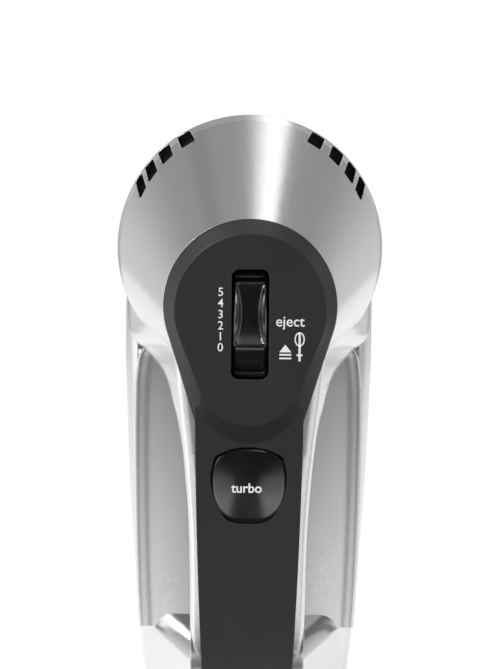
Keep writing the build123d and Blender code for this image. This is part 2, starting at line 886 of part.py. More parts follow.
with BuildPart() as carbon_brushes:
    for x in (brush_inner_x, -brush_inner_x - brush_length):
        with BuildSketch(brush_plane(x)):
            Rectangle(5, 6)
        extrude(amount=brush_length)
carbon_brushes.part.label = "carbon_brushes"
export_step(carbon_brushes.part, "parts/carbon_brushes.step")

with BuildPart() as brush_holders:
    for x, cap_x in ((brush_inner_x + 2, holder_end_x - 1), (-holder_end_x, -holder_end_x)):
        with BuildSketch(brush_plane(x)):
            RectangleRounded(8, 9, 1)
            Rectangle(5.2, 6.2, mode=Mode.SUBTRACT)
        extrude(amount=holder_end_x - brush_inner_x - 2)
        with BuildSketch(brush_plane(cap_x)):
            RectangleRounded(8, 9, 1)
        extrude(amount=1)
brush_holders.part.label = "brush_holders"
export_step(brush_holders.part, "parts/brush_holders.step")

with BuildPart() as brush_springs:
    for side in (-1, 1):
        start = (side * (brush_inner_x + brush_length + 0.4), motor_y, brush_z)
        length = holder_end_x - 1 - brush_inner_x - brush_length - 0.8
        add(coil_spring(start, (side, 0, 0), 1.9, 0.3, length, 5))
brush_springs.part.label = "brush_springs"
export_step(brush_springs.part, "parts/brush_springs.step")

# ---------------------------------------------------------------- worm gearbox
worm_lead = 2 * math.pi * gear_module
worm_root_radius = worm_pitch_radius - 1.2
worm_tip_radius = worm_pitch_radius + 1.0
worm_length = 24.0
thread_length = 18.0
thread_half = 0.55         # at the pitch radius; thin, for backlash

with BuildPart() as worm:
    with BuildSketch(motor_plane(spindle_z - worm_length / 2)):
        Circle(worm_root_radius)
        Circle(shaft_radius, mode=Mode.SUBTRACT)
    extrude(amount=worm_length)
    for start in (0, 180):
        # the helix starts on the x axis a whole number of leads below the mesh point
        low = -math.floor(thread_length / 2 / worm_lead) * worm_lead - worm_lead / 2
        helix = Helix(pitch=worm_lead, height=-2 * low, radius=worm_root_radius - 0.3)
        helix = helix.moved(Location((0, motor_y, spindle_z + low), (0, 0, start)))
        radial = Vector(1, 0, 0).rotate(Axis.Z, start)
        with BuildSketch(Plane(origin=helix @ 0, x_dir=radial, z_dir=helix % 0)):
            with BuildLine():
                Polyline(
                    (-0.1, -thread_half - 0.4),
                    (worm_tip_radius - worm_root_radius + 0.3, -thread_half + 0.2),
                    (worm_tip_radius - worm_root_radius + 0.3, thread_half - 0.2),
                    (-0.1, thread_half + 0.4),
                    close=True,
                )
            make_face()
        sweep(path=helix, is_frenet=True)
worm.part.label = "worm"
export_step(worm.part, "parts/worm.step")

gear_width = 10.0
gear_root_radius = gear_pitch_radius - 1.3
gear_tip_radius = gear_pitch_radius + 1.0
tooth_half = 0.55
tooth_direction = Vector(0, worm_pitch_radius, -gear_module).normalized()

with BuildPart() as tooth:
    start = Vector(0, motor_y, 0) - tooth_direction * (gear_width / 2)
    with BuildSketch(Plane(origin=start, x_dir=(1, 0, 0), z_dir=tooth_direction)):
        with BuildLine():
            Polyline(
                (gear_root_radius - 0.5, -tooth_half - 0.4),
                (gear_tip_radius, -tooth_half + 0.2),
                (gear_tip_radius, tooth_half - 0.2),
                (gear_root_radius - 0.5, tooth_half + 0.4),
                close=True,
            )
        make_face()
    extrude(amount=gear_width)

with BuildPart() as gear_blank:
    with BuildSketch(facing(motor_y + gear_width / 2)):
        Circle(gear_root_radius)
        Circle(spindle_radius, mode=Mode.SUBTRACT)
    extrude(amount=gear_width)
    for turn in range(gear_teeth):
        add(tooth.part.rotate(Axis.Y, (turn + 0.5) * 360 / gear_teeth))

spindle_top_y = 17.5
spindle_end_y = 61.0
wing_slot = 1.7
wing_start_y = 55.0
groove_y = 52.0

with BuildPart() as spindle_blank:
    with BuildSketch(facing(spindle_end_y)):
        Circle(spindle_radius)
        Circle(spindle_bore, mode=Mode.SUBTRACT)
    extrude(amount=spindle_end_y - spindle_top_y)
    with BuildSketch(facing(spindle_end_y + clear)):
        Rectangle(2 * spindle_radius + 1, wing_slot)
        Rectangle(wing_slot, 2 * spindle_radius + 1)
    extrude(amount=spindle_end_y + clear - wing_start_y, mode=Mode.SUBTRACT)

with BuildPart() as retainer_blank:
    with BuildSketch(facing(groove_y + 0.6)):
        Circle(spindle_radius + 0.9)
        Circle(spindle_radius, mode=Mode.SUBTRACT)
    extrude(amount=1.2)

# ---------------------------------------------------------------- beaters
shank_end_y = 76.0
shaft_thin_radius = 2.5
shaft_end_y = blade_end_y + 2
collar_y = 67.0

with BuildPart() as beater_shaft_blank:
    with BuildSketch(Plane.XY):
        with BuildLine():
            Polyline(
                (0, shank_top_y),
                (shank_radius - 0.8, shank_top_y),
                (shank_radius, shank_top_y + 2),
                (shank_radius, groove_y - 1),
                (shank_radius - 0.6, groove_y),
                (shank_radius, groove_y + 1),
                (shank_radius, shank_end_y),
                (shaft_thin_radius, shank_end_y + 3),
                (shaft_thin_radius, blade_end_y - blade_thickness - 3),
                (shaft_thin_radius + 1.5, blade_end_y - blade_thickness - 2),
                (shaft_thin_radius + 1.5, blade_end_y - blade_thickness),
                (shaft_thin_radius, blade_end_y - blade_thickness),
                (shaft_thin_radius, shaft_end_y - 0.8),
                (shaft_thin_radius - 0.8, shaft_end_y),
                (0, shaft_end_y),
                close=True,
            )
        make_face()
    revolve(axis=Axis.Y)
    # drive wings that engage the spindle's end
    with BuildSketch(facing(wing_start_y + 5)):
        Rectangle(2 * spindle_radius - 0.4, wing_slot - 0.3)
        Rectangle(wing_slot - 0.3, 2 * spindle_radius - 0.4)
    extrude(amount=4)

with BuildPart() as beater_blades_blank:
    for turn in (0, 90):
        across = Vector(1, 0, 0).rotate(Axis.Y, turn)
        normal = Vector(0, 0, 1).rotate(Axis.Y, turn)
        middle_y = (blade_start_y + blade_end_y) / 2
        edge_plane = Vector(0, middle_y, 0) - normal * (blade_width / 2)
        with BuildSketch(Plane(origin=edge_plane, x_dir=across, z_dir=normal)):
            RectangleRounded(2 * blade_radius, blade_end_y - blade_start_y, blade_corner)
            RectangleRounded(
                2 * (blade_radius - blade_thickness),
                blade_end_y - blade_start_y - 2 * blade_thickness,
                blade_corner - blade_thickness,
                mode=Mode.SUBTRACT,
            )
        extrude(amount=blade_width)
    with BuildSketch(facing(shaft_end_y)):
        Circle(shaft_thin_radius)
    extrude(amount=shaft_end_y - blade_start_y + 1, mode=Mode.SUBTRACT)

with BuildPart() as beater_collar_blank:
    with BuildSketch(facing(collar_y + 2)):
        Circle(7.5)
        Circle(shank_radius, mode=Mode.SUBTRACT)
    extrude(amount=2)
    with BuildSketch(facing(collar_y + 5)):
        Circle(5.5)
        Circle(shank_radius, mode=Mode.SUBTRACT)
    extrude(amount=4)

with BuildPart() as socket_collar_blank:
    with BuildSketch(facing(underside_y + 0.8)):
        Circle(spindle_hole + 2)
        Circle(spindle_radius + 1.2, mode=Mode.SUBTRACT)
    extrude(amount=0.8)
    with BuildSketch(facing(underside_y)):
        Circle(spindle_hole)
        Circle(spindle_radius + 1.2, mode=Mode.SUBTRACT)
    extrude(amount=wall + 0.6)

# Both sides carry the same pieces; the right beater starts an eighth of a turn further round
for side, x, turn in (("left", -beater_x, 0), ("right", beater_x, 45)):
    place = Location((x, 0, spindle_z))
    for name, blank, angle in (
        ("spindle", spindle_blank, turn),
        ("drive_gear", gear_blank, 0),
        ("retaining_ring", retainer_blank, 0),
        ("beater_shaft", beater_shaft_blank, turn),
        ("beater_blades", beater_blades_blank, turn),
        ("beater_collar", beater_collar_blank, 0),
        ("socket_collar", socket_collar_blank, 0),
    ):
        with BuildPart() as piece:
            add(blank.part.rotate(Axis.Y, angle).moved(place))
        piece.part.label = f"{name}_{side}"
        export_step(piece.part, f"parts/{name}_{side}.step")

# ---------------------------------------------------------------- gearbox frame and cover
gearbox_top_plate = 4.5
gearbox_cover_y = 46.0
gearbox_cover_thickness = 3.0
gearbox_middle_z = 152.5
gearbox_width = 66.0
gearbox_length = 39.0
pocket_radius = gear_tip_radius + 0.6
bush_radius = 7.0
gearbox_screw_places = [(x, z) for x in both_sides(29.5) for z in (137.5, 167.5)]
gearbox_screw_radius = 1.25

with BuildPart() as gearbox_frame:
    with BuildSketch(facing(gearbox_cover_y)):
        with Locations((0, gearbox_middle_z)):
            RectangleRounded(gearbox_width, gearbox_length, 5)
    extrude(amount=gearbox_cover_y - gearbox_top_y)
    with BuildSketch(facing(gearbox_cover_y + clear)):
        with Locations(*[(x, spindle_z) for x in both_sides(beater_x)]):
            Circle(pocket_radius)
    extrude(amount=gearbox_cover_y + clear - gearbox_top_y - gearbox_top_plate, mode=Mode.SUBTRACT)
    with BuildSketch(facing(gearbox_cover_y + clear)):
        with Locations(*[(x, spindle_z) for x in both_sides(beater_x)]):
            Circle(bush_radius)
    extrude(amount=gearbox_cover_y + 2 * clear - gearbox_top_y, mode=Mode.SUBTRACT)
    with BuildSketch(facing(gearbox_cover_y + clear)):
        with Locations(*gearbox_screw_places):
            Circle(gearbox_screw_radius)
    extrude(amount=13, mode=Mode.SUBTRACT)
    with BuildSketch(motor_plane(130)):
        Circle(worm_tip_radius + 1)
    extrude(amount=35, mode=Mode.SUBTRACT)
    with BuildSketch(motor_plane(160)):
        Circle(5)
    extrude(amount=20, mode=Mode.SUBTRACT)
gearbox_frame.part.label = "gearbox_frame"
export_step(gearbox_frame.part, "parts/gearbox_frame.step")

with BuildPart() as gearbox_cover:
    with BuildSketch(facing(gearbox_cover_y + gearbox_cover_thickness)):
        with Locations((0, gearbox_middle_z)):
            RectangleRounded(gearbox_width, gearbox_length, 5)
        with Locations(*[(x, spindle_z) for x in both_sides(beater_x)]):
            Circle(bush_radius, mode=Mode.SUBTRACT)
        with Locations(*gearbox_screw_places):
            Circle(gearbox_screw_radius, mode=Mode.SUBTRACT)
    extrude(amount=gearbox_cover_thickness)
gearbox_cover.part.label = "gearbox_cover"
export_step(gearbox_cover.part, "parts/gearbox_cover.step")

with BuildPart() as spindle_bushes:
    for end_y, length in (
        (gearbox_top_y + gearbox_top_plate, gearbox_top_plate),
        (gearbox_cover_y + gearbox_cover_thickness, gearbox_cover_thickness),
    ):
        with BuildSketch(facing(end_y)):
            with Locations(*[(x, spindle_z) for x in both_sides(beater_x)]):
                Circle(bush_radius)
                Circle(spindle_radius + running_gap, mode=Mode.SUBTRACT)
        extrude(amount=length)
spindle_bushes.part.label = "spindle_bushes"
export_step(spindle_bushes.part, "parts/spindle_bushes.step")

with BuildPart() as worm_bush:
    add(ring(165.5, 6, 5, shaft_radius + running_gap))
worm_bush.part.label = "worm_bush"
export_step(worm_bush.part, "parts/worm_bush.step")

# ---------------------------------------------------------------- screws, feet, mains inlet
with BuildPart() as gearbox_screws:
    with BuildSketch(facing(gearbox_cover_y + gearbox_cover_thickness)):
        with Locations(*gearbox_screw_places):
            Circle(gearbox_screw_radius)
    extrude(amount=14)
    with BuildSketch(facing(gearbox_cover_y + gearbox_cover_thickness + 2)):
        with Locations(*gearbox_screw_places):
            Circle(2 * gearbox_screw_radius)
    extrude(amount=2)
gearbox_screws.part.label = "gearbox_screws"
export_step(gearbox_screws.part, "parts/gearbox_screws.step")

with BuildPart() as housing_screws:
    with BuildSketch(facing(screw_seat_y)):
        with Locations(*housing_screw_places):
            Circle(screw_radius)
    extrude(amount=screw_length - 2 * clear)
    with BuildSketch(facing(screw_seat_y + 2)):
        with Locations(*housing_screw_places):
            Circle(screw_head_radius)
    extrude(amount=2)
    with BuildSketch(facing(screw_seat_y + 2 + clear)):
        with Locations(*housing_screw_places):
            Rectangle(3.4, 0.8)
            Rectangle(0.8, 3.4)
    extrude(amount=2, mode=Mode.SUBTRACT)
housing_screws.part.label = "housing_screws"
export_step(housing_screws.part, "parts/housing_screws.step")

with BuildPart() as rubber_feet:
    add(feet_pockets())
rubber_feet.part.label = "rubber_feet"
export_step(rubber_feet.part, "parts/rubber_feet.step")

with BuildPart() as cord_gland:
    with BuildSketch(gland_plane.offset(gland_flange - gland_length)):
        Circle(gland_radius)
        Circle(gland_bore, mode=Mode.SUBTRACT)
    extrude(amount=gland_length)
    with BuildSketch(gland_plane):
        Circle(gland_flange_radius)
        Circle(gland_bore, mode=Mode.SUBTRACT)
    extrude(amount=gland_flange)
cord_gland.part.label = "cord_gland"
export_step(cord_gland.part, "parts/cord_gland.step")
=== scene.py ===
import json
import math

import bmesh
import bpy
from mathutils import Matrix, Vector


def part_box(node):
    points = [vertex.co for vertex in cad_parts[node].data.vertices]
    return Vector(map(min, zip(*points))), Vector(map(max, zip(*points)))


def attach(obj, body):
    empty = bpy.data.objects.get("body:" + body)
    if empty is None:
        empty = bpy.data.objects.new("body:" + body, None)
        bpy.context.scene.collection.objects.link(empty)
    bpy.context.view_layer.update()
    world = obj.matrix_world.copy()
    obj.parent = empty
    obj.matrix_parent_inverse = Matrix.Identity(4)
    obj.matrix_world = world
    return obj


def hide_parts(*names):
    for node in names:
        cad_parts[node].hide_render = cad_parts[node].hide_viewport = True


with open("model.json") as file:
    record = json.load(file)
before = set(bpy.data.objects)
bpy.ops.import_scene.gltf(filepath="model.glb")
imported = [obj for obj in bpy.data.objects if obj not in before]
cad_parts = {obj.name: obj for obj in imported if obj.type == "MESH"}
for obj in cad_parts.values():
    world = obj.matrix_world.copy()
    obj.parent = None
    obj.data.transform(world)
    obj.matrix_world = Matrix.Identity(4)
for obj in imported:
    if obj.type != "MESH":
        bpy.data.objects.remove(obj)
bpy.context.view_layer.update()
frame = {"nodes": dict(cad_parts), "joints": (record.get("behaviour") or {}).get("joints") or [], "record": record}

scene = bpy.context.scene
nodes = frame["nodes"]
MM = 0.001


# ---------------------------------------------------------------- camera
def add_camera():
    """Looks at the handle side, turned and tilted by about half a degree."""
    focal_length, sensor_width = 126.2, 36
    place = [value * MM for value in (-4.7, -800, 125.7)]
    yaw, pitch, roll = (math.radians(value) for value in (-0.39, 90, 0.55))
    lens = bpy.data.cameras.new("camera")
    lens.sensor_fit = "AUTO"
    lens.sensor_width = sensor_width
    lens.lens = focal_length
    lens.clip_end = 50
    camera = bpy.data.objects.new("camera", lens)
    scene.collection.objects.link(camera)
    camera.matrix_world = (
        Matrix.Translation(place)
        @ Matrix.Rotation(yaw, 4, "Z")
        @ Matrix.Rotation(pitch, 4, "X")
        @ Matrix.Rotation(roll, 4, "Z")
    )
    scene.camera = camera


add_camera()


# ---------------------------------------------------------------- material helpers
class Nodes:
    """Short way to build a node material."""

    def __init__(self, name):
        self.material = bpy.data.materials.new(name)
        self.material.use_nodes = True
        self.tree = self.material.node_tree
        self.shader = self.tree.nodes["Principled BSDF"]

    def add(self, kind, inputs=None, **settings):
        node = self.tree.nodes.new(kind)
        for key, value in settings.items():
            setattr(node, key, value)
        for key, value in (inputs or {}).items():
            if isinstance(value, bpy.types.NodeSocket):
                self.tree.links.new(value, node.inputs[key])
            else:
                node.inputs[key].default_value = value
        return node

    def set(self, **values):
        for key, value in values.items():
            socket = self.shader.inputs[key.replace("_", " ")]
            if isinstance(value, bpy.types.NodeSocket):
                self.tree.links.new(value, socket)
            else:
                socket.default_value = value

    def place(self, scale=(1, 1, 1)):
        """Object coordinates, stretched."""
        coordinates = self.add("ShaderNodeTexCoord")
        return self.add(
            "ShaderNodeMapping", {"Vector": coordinates.outputs["Object"], "Scale": scale}
        ).outputs["Vector"]

    def noise(self, scale, detail=3.0, roughness=0.5, stretch=(1, 1, 1)):
        return self.add(
            "ShaderNodeTexNoise",
            {
                "Vector": self.place(stretch),
                "Scale": scale,
                "Detail": detail,
                "Roughness": roughness,
            },
        ).outputs["Fac"]

    def ramp(self, value, low, high, start=0.3, end=0.7):
        """Turns a value between start and end into a number or colour between low and high."""
        if isinstance(low, tuple):
            share = self.ramp(value, 0.0, 1.0, start, end)
            # The Mix node's sockets go by number: its factor, its two colours, its colour result
            factor, first, second, result = 0, 6, 7, 2
            return self.add(
                "ShaderNodeMix",
                {factor: share, first: (*low, 1), second: (*high, 1)},
                data_type="RGBA",
            ).outputs[result]
        return self.add(
            "ShaderNodeMapRange",
            {"Value": value, "From Min": start, "From Max": end, "To Min": low, "To Max": high},
        ).outputs["Result"]

    def rounded(self, radius):
        """Edges look eased by this radius."""
        return self.add("ShaderNodeBevel", {"Radius": radius}, samples=6).outputs["Normal"]

    def bump(self, height, distance, strength=1.0, normal=None):
        inputs = {"Height": height, "Distance": distance, "Strength": strength}
        if normal is not None:
            inputs["Normal"] = normal
        return self.add("ShaderNodeBump", inputs).outputs["Normal"]


def silver_lacquer():
    """Satin silver lacquer with fine metal flake."""
    m = Nodes("silver_lacquer")
    flake = m.noise(1800, detail=1)
    cloud = m.noise(22, detail=3)
    m.set(
        Base_Color=m.ramp(cloud, (0.66, 0.66, 0.665), (0.69, 0.69, 0.695)),
        Metallic=0.95,
        Roughness=m.ramp(flake, 0.19, 0.25),
        Normal=m.bump(flake, 0.000004, 0.2, m.rounded(0.0009)),
    )
    return m.material


def soft_touch():
    """Charcoal rubber paint: very fine orange peel, a dull sheen."""
    m = Nodes("soft_touch")
    grain = m.noise(2600, detail=2)
    cloud = m.noise(30, detail=4)
    m.set(
        Base_Color=m.ramp(cloud, (0.021, 0.0178, 0.0182), (0.026, 0.022, 0.0225)),
        Roughness=m.ramp(grain, 0.36, 0.46),
        Normal=m.bump(grain, 0.00001, 0.25, m.rounded(0.0006)),
        Specular_IOR_Level=0.55,
    )
    return m.material


def gloss_black():
    """Black gloss moulding with faint handling marks."""
    m = Nodes("gloss_black")
    smear = m.noise(60, detail=5, stretch=(1, 1, 0.3))
    m.set(
        Base_Color=m.ramp(smear, (0.006, 0.006, 0.007), (0.010, 0.010, 0.012)),
        Roughness=m.ramp(smear, 0.08, 0.2),
        Normal=m.bump(smear, 0.000004, 0.1, m.rounded(0.0012)),
        Specular_IOR_Level=0.8,
        Coat_Weight=1.0,
        Coat_Roughness=0.05,
    )
    return m.material


def moulded(name, dark, light, grain_scale=1500, low=0.45, high=0.65):
    """Fine-textured plastic or rubber."""
    m = Nodes(name)
    grain = m.noise(grain_scale, detail=2)
    cloud = m.noise(40, detail=3)
    m.set(
        Base_Color=m.ramp(cloud, dark, light),
        Roughness=m.ramp(grain, low, high),
        Normal=m.bump(grain, 0.00005, 0.35),
    )
    return m.material


def metal(name, dark, light, low, high, stretch=(1, 1, 1), grain_scale=600):
    """Bare metal, with its grain drawn out along the axis where stretch is smallest."""
    m = Nodes(name)
    grain = m.noise(grain_scale, detail=4, stretch=stretch)
    m.set(
        Base_Color=m.ramp(grain, dark, light),
        Metallic=1.0,
        Roughness=m.ramp(grain, low, high),
        Normal=m.bump(grain, 0.00002, 0.3),
    )
    return m.material


def laminations():
    """Stacked steel sheets with a thin dark line between them."""
    m = Nodes("laminated_steel")
    sheets = m.add(
        "ShaderNodeTexWave",
        {"Vector": m.place(), "Scale": 300.0, "Distortion": 0.0},
        wave_type="BANDS",
        bands_direction="Z",
    ).outputs["Fac"]
    m.set(
        Base_Color=m.ramp(sheets, (0.10, 0.10, 0.105), (0.36, 0.36, 0.38), 0.05, 0.4),
        Metallic=0.9,
        Roughness=m.ramp(sheets, 0.6, 0.35),
        Normal=m.bump(sheets, 0.0001, 0.6),
    )
    return m.material


def windings():
    """Enamelled copper wire laid side by side."""
    m = Nodes("enamelled_copper")
    wires = m.add(
        "ShaderNodeTexWave",
        {"Vector": m.place(), "Scale": 420.0, "Distortion": 0.6, "Detail": 1.0},
        wave_type="BANDS",
        bands_direction="DIAGONAL",
    ).outputs["Fac"]
    m.set(
        Base_Color=m.ramp(wires, (0.20, 0.06, 0.02), (0.62, 0.24, 0.09), 0.1, 0.7),
        Metallic=0.85,
        Roughness=m.ramp(wires, 0.5, 0.25),
        Normal=m.bump(wires, 0.0002, 0.8),
    )
    return m.material


MATERIALS = {
    "silver_housing": silver_lacquer(),
    "soft_touch": soft_touch(),
    "gloss_black": gloss_black(),
    "black_plastic": moulded("black_plastic", (0.012, 0.012, 0.012), (0.022, 0.022, 0.021)),
    "natural_plastic": moulded("natural_plastic", (0.62, 0.60, 0.54), (0.72, 0.70, 0.64), 900),
    "gear_plastic": moulded("gear_plastic", (0.70, 0.68, 0.60), (0.80, 0.78, 0.70), 900, 0.3, 0.45),
    "steel": metal("steel", (0.40, 0.40, 0.41), (0.56, 0.56, 0.57), 0.22, 0.38, (1, 1, 0.08)),
    "spring_steel": metal("spring_steel", (0.32, 0.32, 0.33), (0.5, 0.5, 0.51), 0.25, 0.4),
    "polished_steel": metal(
        "polished_steel", (0.62, 0.62, 0.63), (0.74, 0.74, 0.75), 0.06, 0.16, (1, 0.05, 1), 900
    ),
    "laminated_steel": laminations(),
    "bare_aluminium": metal("bare_aluminium", (0.66, 0.66, 0.67), (0.8, 0.8, 0.81), 0.3, 0.45),
    "enamelled_copper": windings(),
    "copper": metal("copper", (0.60, 0.27, 0.15), (0.78, 0.42, 0.26), 0.2, 0.4, (1, 1, 0.1)),
    "brass_strip": metal("brass_strip", (0.62, 0.45, 0.18), (0.78, 0.60, 0.28), 0.25, 0.4),
    "bronze": metal("bronze", (0.38, 0.26, 0.13), (0.5, 0.36, 0.2), 0.4, 0.6, (1, 1, 1), 1800),
    "carbon": moulded("carbon", (0.02, 0.02, 0.02), (0.04, 0.04, 0.042), 2500, 0.5, 0.8),
    "circuit_board": moulded("circuit_board", (0.26, 0.17, 0.06), (0.36, 0.25, 0.10), 700),
    "rubber": moulded("rubber", (0.010, 0.010, 0.010), (0.018, 0.018, 0.018), 1200, 0.6, 0.85),
}

for row in frame["record"]["subparts"]:
    mesh = nodes[row["node"]].data
    mesh.materials.clear()
    mesh.materials.append(MATERIALS[row["material_slot"]])


# ---------------------------------------------------------------- mesh helpers
def add_piece(name, points, faces, body, material, smooth=True):
    """A mesh object from points in metres that rides on a body."""
    mesh = bpy.data.meshes.new(name)
    mesh.from_pydata([tuple(p) for p in points], [], faces)
    form = bmesh.new()
    form.from_mesh(mesh)
    bmesh.ops.recalc_face_normals(form, faces=form.faces)
    form.to_mesh(mesh)
    form.free()
    for face in mesh.polygons:
        face.use_smooth = smooth
    mesh.materials.append(material)
    piece = bpy.data.objects.new(name, mesh)
    scene.collection.objects.link(piece)
    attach(piece, body)
    return piece


def joined(rows, closed):
    """Points and faces of rows joined one to the next. Closed rings get both ends capped."""
    width = len(rows[0])
    points = [p for row in rows for p in row]
    faces = []
    for start in range(0, len(points) - width, width):
        for i in range(width if closed else width - 1):
            j = (i + 1) % width
            faces.append((start + i, start + j, start + width + j, start + width + i))
    if closed:
        faces.append(tuple(range(width)))
        faces.append(tuple(range(len(points) - width, len(points))))
    return points, faces


def interpolate(table, z):
    """Value at height z, in straight steps between rows of (z, value) that fall in z."""
    for (high, first), (low, last) in zip(table, table[1:]):
        if z >= low:
            share = min(max((high - z) / (high - low), 0), 1)
            return first + (last - first) * share
    return table[-1][1]


def spaced(rows, count):
    """Points on a Catmull-Rom curve through the rows, count of them from each to the next."""
    rows = [Vector(row) for row in rows]
    rows = [2 * rows[0] - rows[1], *rows, 2 * rows[-1] - rows[-2]]
    result = []
    for a, b, c, d in zip(rows, rows[1:], rows[2:], rows[3:]):
        slope = c - a
        square = 2 * a - 5 * b + 4 * c - d
        cube = 3 * b - a - 3 * c + d
        for i in range(count):
            t = i / count
            result.append(0.5 * (2 * b + slope * t + square * t * t + cube * t**3))
    return [*result, rows[-2]]


def add_silver_sheet(name, side, rows):
    """Housing surface from rows of (x, y, z) in millimetres, mirrored where side is -1."""
    points, faces = joined(
        [[Vector((side * x, y, z)) * MM for x, y, z in row] for row in rows], closed=False
    )
    add_piece(name, points, faces, "housing", MATERIALS["silver_housing"])


# ---------------------------------------------------------------- surfaces beside the handle
# The lip of the fairing as (z, x, y) in millimetres, from the head down to the grip
LIP = (
    (148, 41.5, -3), (138, 41.4, -3), (129, 41.0, -4), (125.2, 40.2, -7), (122.9, 38.2, -10.2),
    (120.8, 35.4, -12.6), (117.6, 32.2, -16.5), (114.6, 29.4, -21), (111.2, 27.5, -26.5),
    (107.6, 26.1, -31), (102.4, 24.7, -34.4), (97.4, 23.4, -35.8), (86.7, 21.6, -36),
    (75, 20.6, -36),
)
# The edge of the fairing on the panel as (z, x) in millimetres
PANEL = (
    (148, 23.8), (146, 24.7), (141, 26.4), (134.6, 27.2), (128, 26.4), (122, 24.2),
    (116, 20.9), (110, 18.9), (104, 17.4), (96, 16.9), (86, 16.7), (75, 16.5),
)
# Rim of the deck beside the grip as (z, x) in millimetres
DECK_RIM = (
    (126, 33.0), (123, 34.4), (121.2, 35.6), (119.5, 36.6), (117.8, 37.3), (111, 38.2),
    (104, 38.5), (87.5, 38.5), (70, 38.2), (54.8, 37.8), (40, 37.2), (27, 36.4),
)


def add_fairing(side, name):
    """Flank that sweeps from the panel to a rolled lip over the hollow beside the grip."""
    panel_y, lip_radius, sag = -64.6, 1.1, 1.3
    return_width, return_end, return_drop = 14, 8, 0.2
    flank_steps, lip_steps = 12, 7
    rows = []
    for z, x, y in spaced(LIP, 6):
        inner = Vector((interpolate(PANEL, z), panel_y))
        outer = Vector((x, y))
        along = (outer - inner).normalized()
        across = Vector((-along.y, along.x))
        lip_start = outer - along * lip_radius
        lip_centre = lip_start + across * lip_radius
        row = []
        for i in range(flank_steps + 1):
            t = i / flank_steps
            depth = sag * math.sin(math.pi * t) * (0.4 + 0.6 * t)
            row.append(inner.lerp(lip_start, t) + across * depth)
        for i in range(1, lip_steps + 1):
            turn = -math.pi / 2 + math.pi * i / lip_steps
            row.append(
                lip_centre + lip_radius * (along * math.cos(turn) + across * math.sin(turn))
            )
        row.append(Vector((max(x - return_width, return_end), row[-1].y + return_drop)))
        rows.append([(p.x, p.y, z) for p in row])
    add_silver_sheet(name, side, rows)


def add_deck(side, name):
    """Top of the motor housing beside the grip, with a rolled rim along its outer edge."""
    inner_x, inner_y, fall = 14, -8.3, 0.85
    bead_rise, bead_start = 0.55, 0.86
    roll, skirt_inset, skirt_y = 0.9, 0.1, 2.0
    deck_steps, roll_steps = 14, 8
    rows = []
    for z, x in spaced(DECK_RIM, 5):
        edge = x - roll
        row = []
        for i in range(deck_steps + 1):
            u = i / deck_steps
            bead = bead_rise * max(u - bead_start, 0) / (1 - bead_start)
            row.append((inner_x + (edge - inner_x) * u, inner_y + fall * u * u - bead, z))
        crest = row[-1][1]
        for i in range(1, roll_steps + 1):
            turn = math.pi / 2 * i / roll_steps
            row.append((edge + roll * math.sin(turn), crest + roll * (1 - math.cos(turn)), z))
        row.append((x - skirt_inset, skirt_y, z))
        rows.append(row)
    add_silver_sheet(name, side, rows)


for side, word in ((-1, "left"), (1, "right")):
    add_deck(side, "deck_" + word)
for side, word in ((-1, "left"), (1, "right")):
    add_fairing(side, "side_fairing_" + word)


# ---------------------------------------------------------------- turbo button
def add_turbo_button(low, high):
    """Domed gloss button, just inside the box of the CAD button that it replaces."""
    front = low[1]
    centre = Vector(((low[0] + high[0]) / 2, 0, (low[2] + high[2]) / 2))
    half_x, half_z = (high[0] - low[0]) / 2, (high[2] - low[2]) / 2
    sides, power, taper = 96, 2 / 2.9, 0.05
    # Ring sizes as shares of the box, and depths behind the front
    foot, wall, crown = 0.93, 0.985, 0.815
    wall_depth, shoulder_depth, crown_fall = 5.4 * MM, 2.6 * MM, 0.25 * MM
    shoulder_steps = 14

    def ring(scale, y):
        points = []
        for i in range(sides):
            turn = 2 * math.pi * i / sides
            c, s = math.cos(turn), math.sin(turn)
            x = math.copysign(abs(c) ** power, c) * half_x * (1 + taper * s - taper * s * s)
            z = math.copysign(abs(s) ** power, s) * half_z
            points.append(centre + Vector((x * scale, y, z * scale)))
        return points

    rings = [
        ring(foot, high[1]),
        ring(wall, front + wall_depth),
        ring(wall, front + shoulder_depth),
    ]
    for i in range(1, shoulder_steps + 1):
        turn = math.pi / 2 * i / shoulder_steps
        scale = wall - (wall - crown) * (1 - math.cos(turn))
        depth = shoulder_depth - (shoulder_depth - crown_fall) * math.sin(turn)
        rings.append(ring(scale, front + depth))
    for scale in (0.74, 0.62, 0.48, 0.34, 0.18, 0.04):
        rings.append(ring(scale, front + crown_fall * (scale / crown) ** 2))
    points, faces = joined(rings, closed=True)
    gloss = MATERIALS["gloss_black"]
    button = add_piece("turbo_dome", points, faces, "turbo", gloss)
    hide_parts("turbo_button")


turbo_low, turbo_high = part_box("turbo_button")
add_turbo_button(turbo_low, turbo_high)


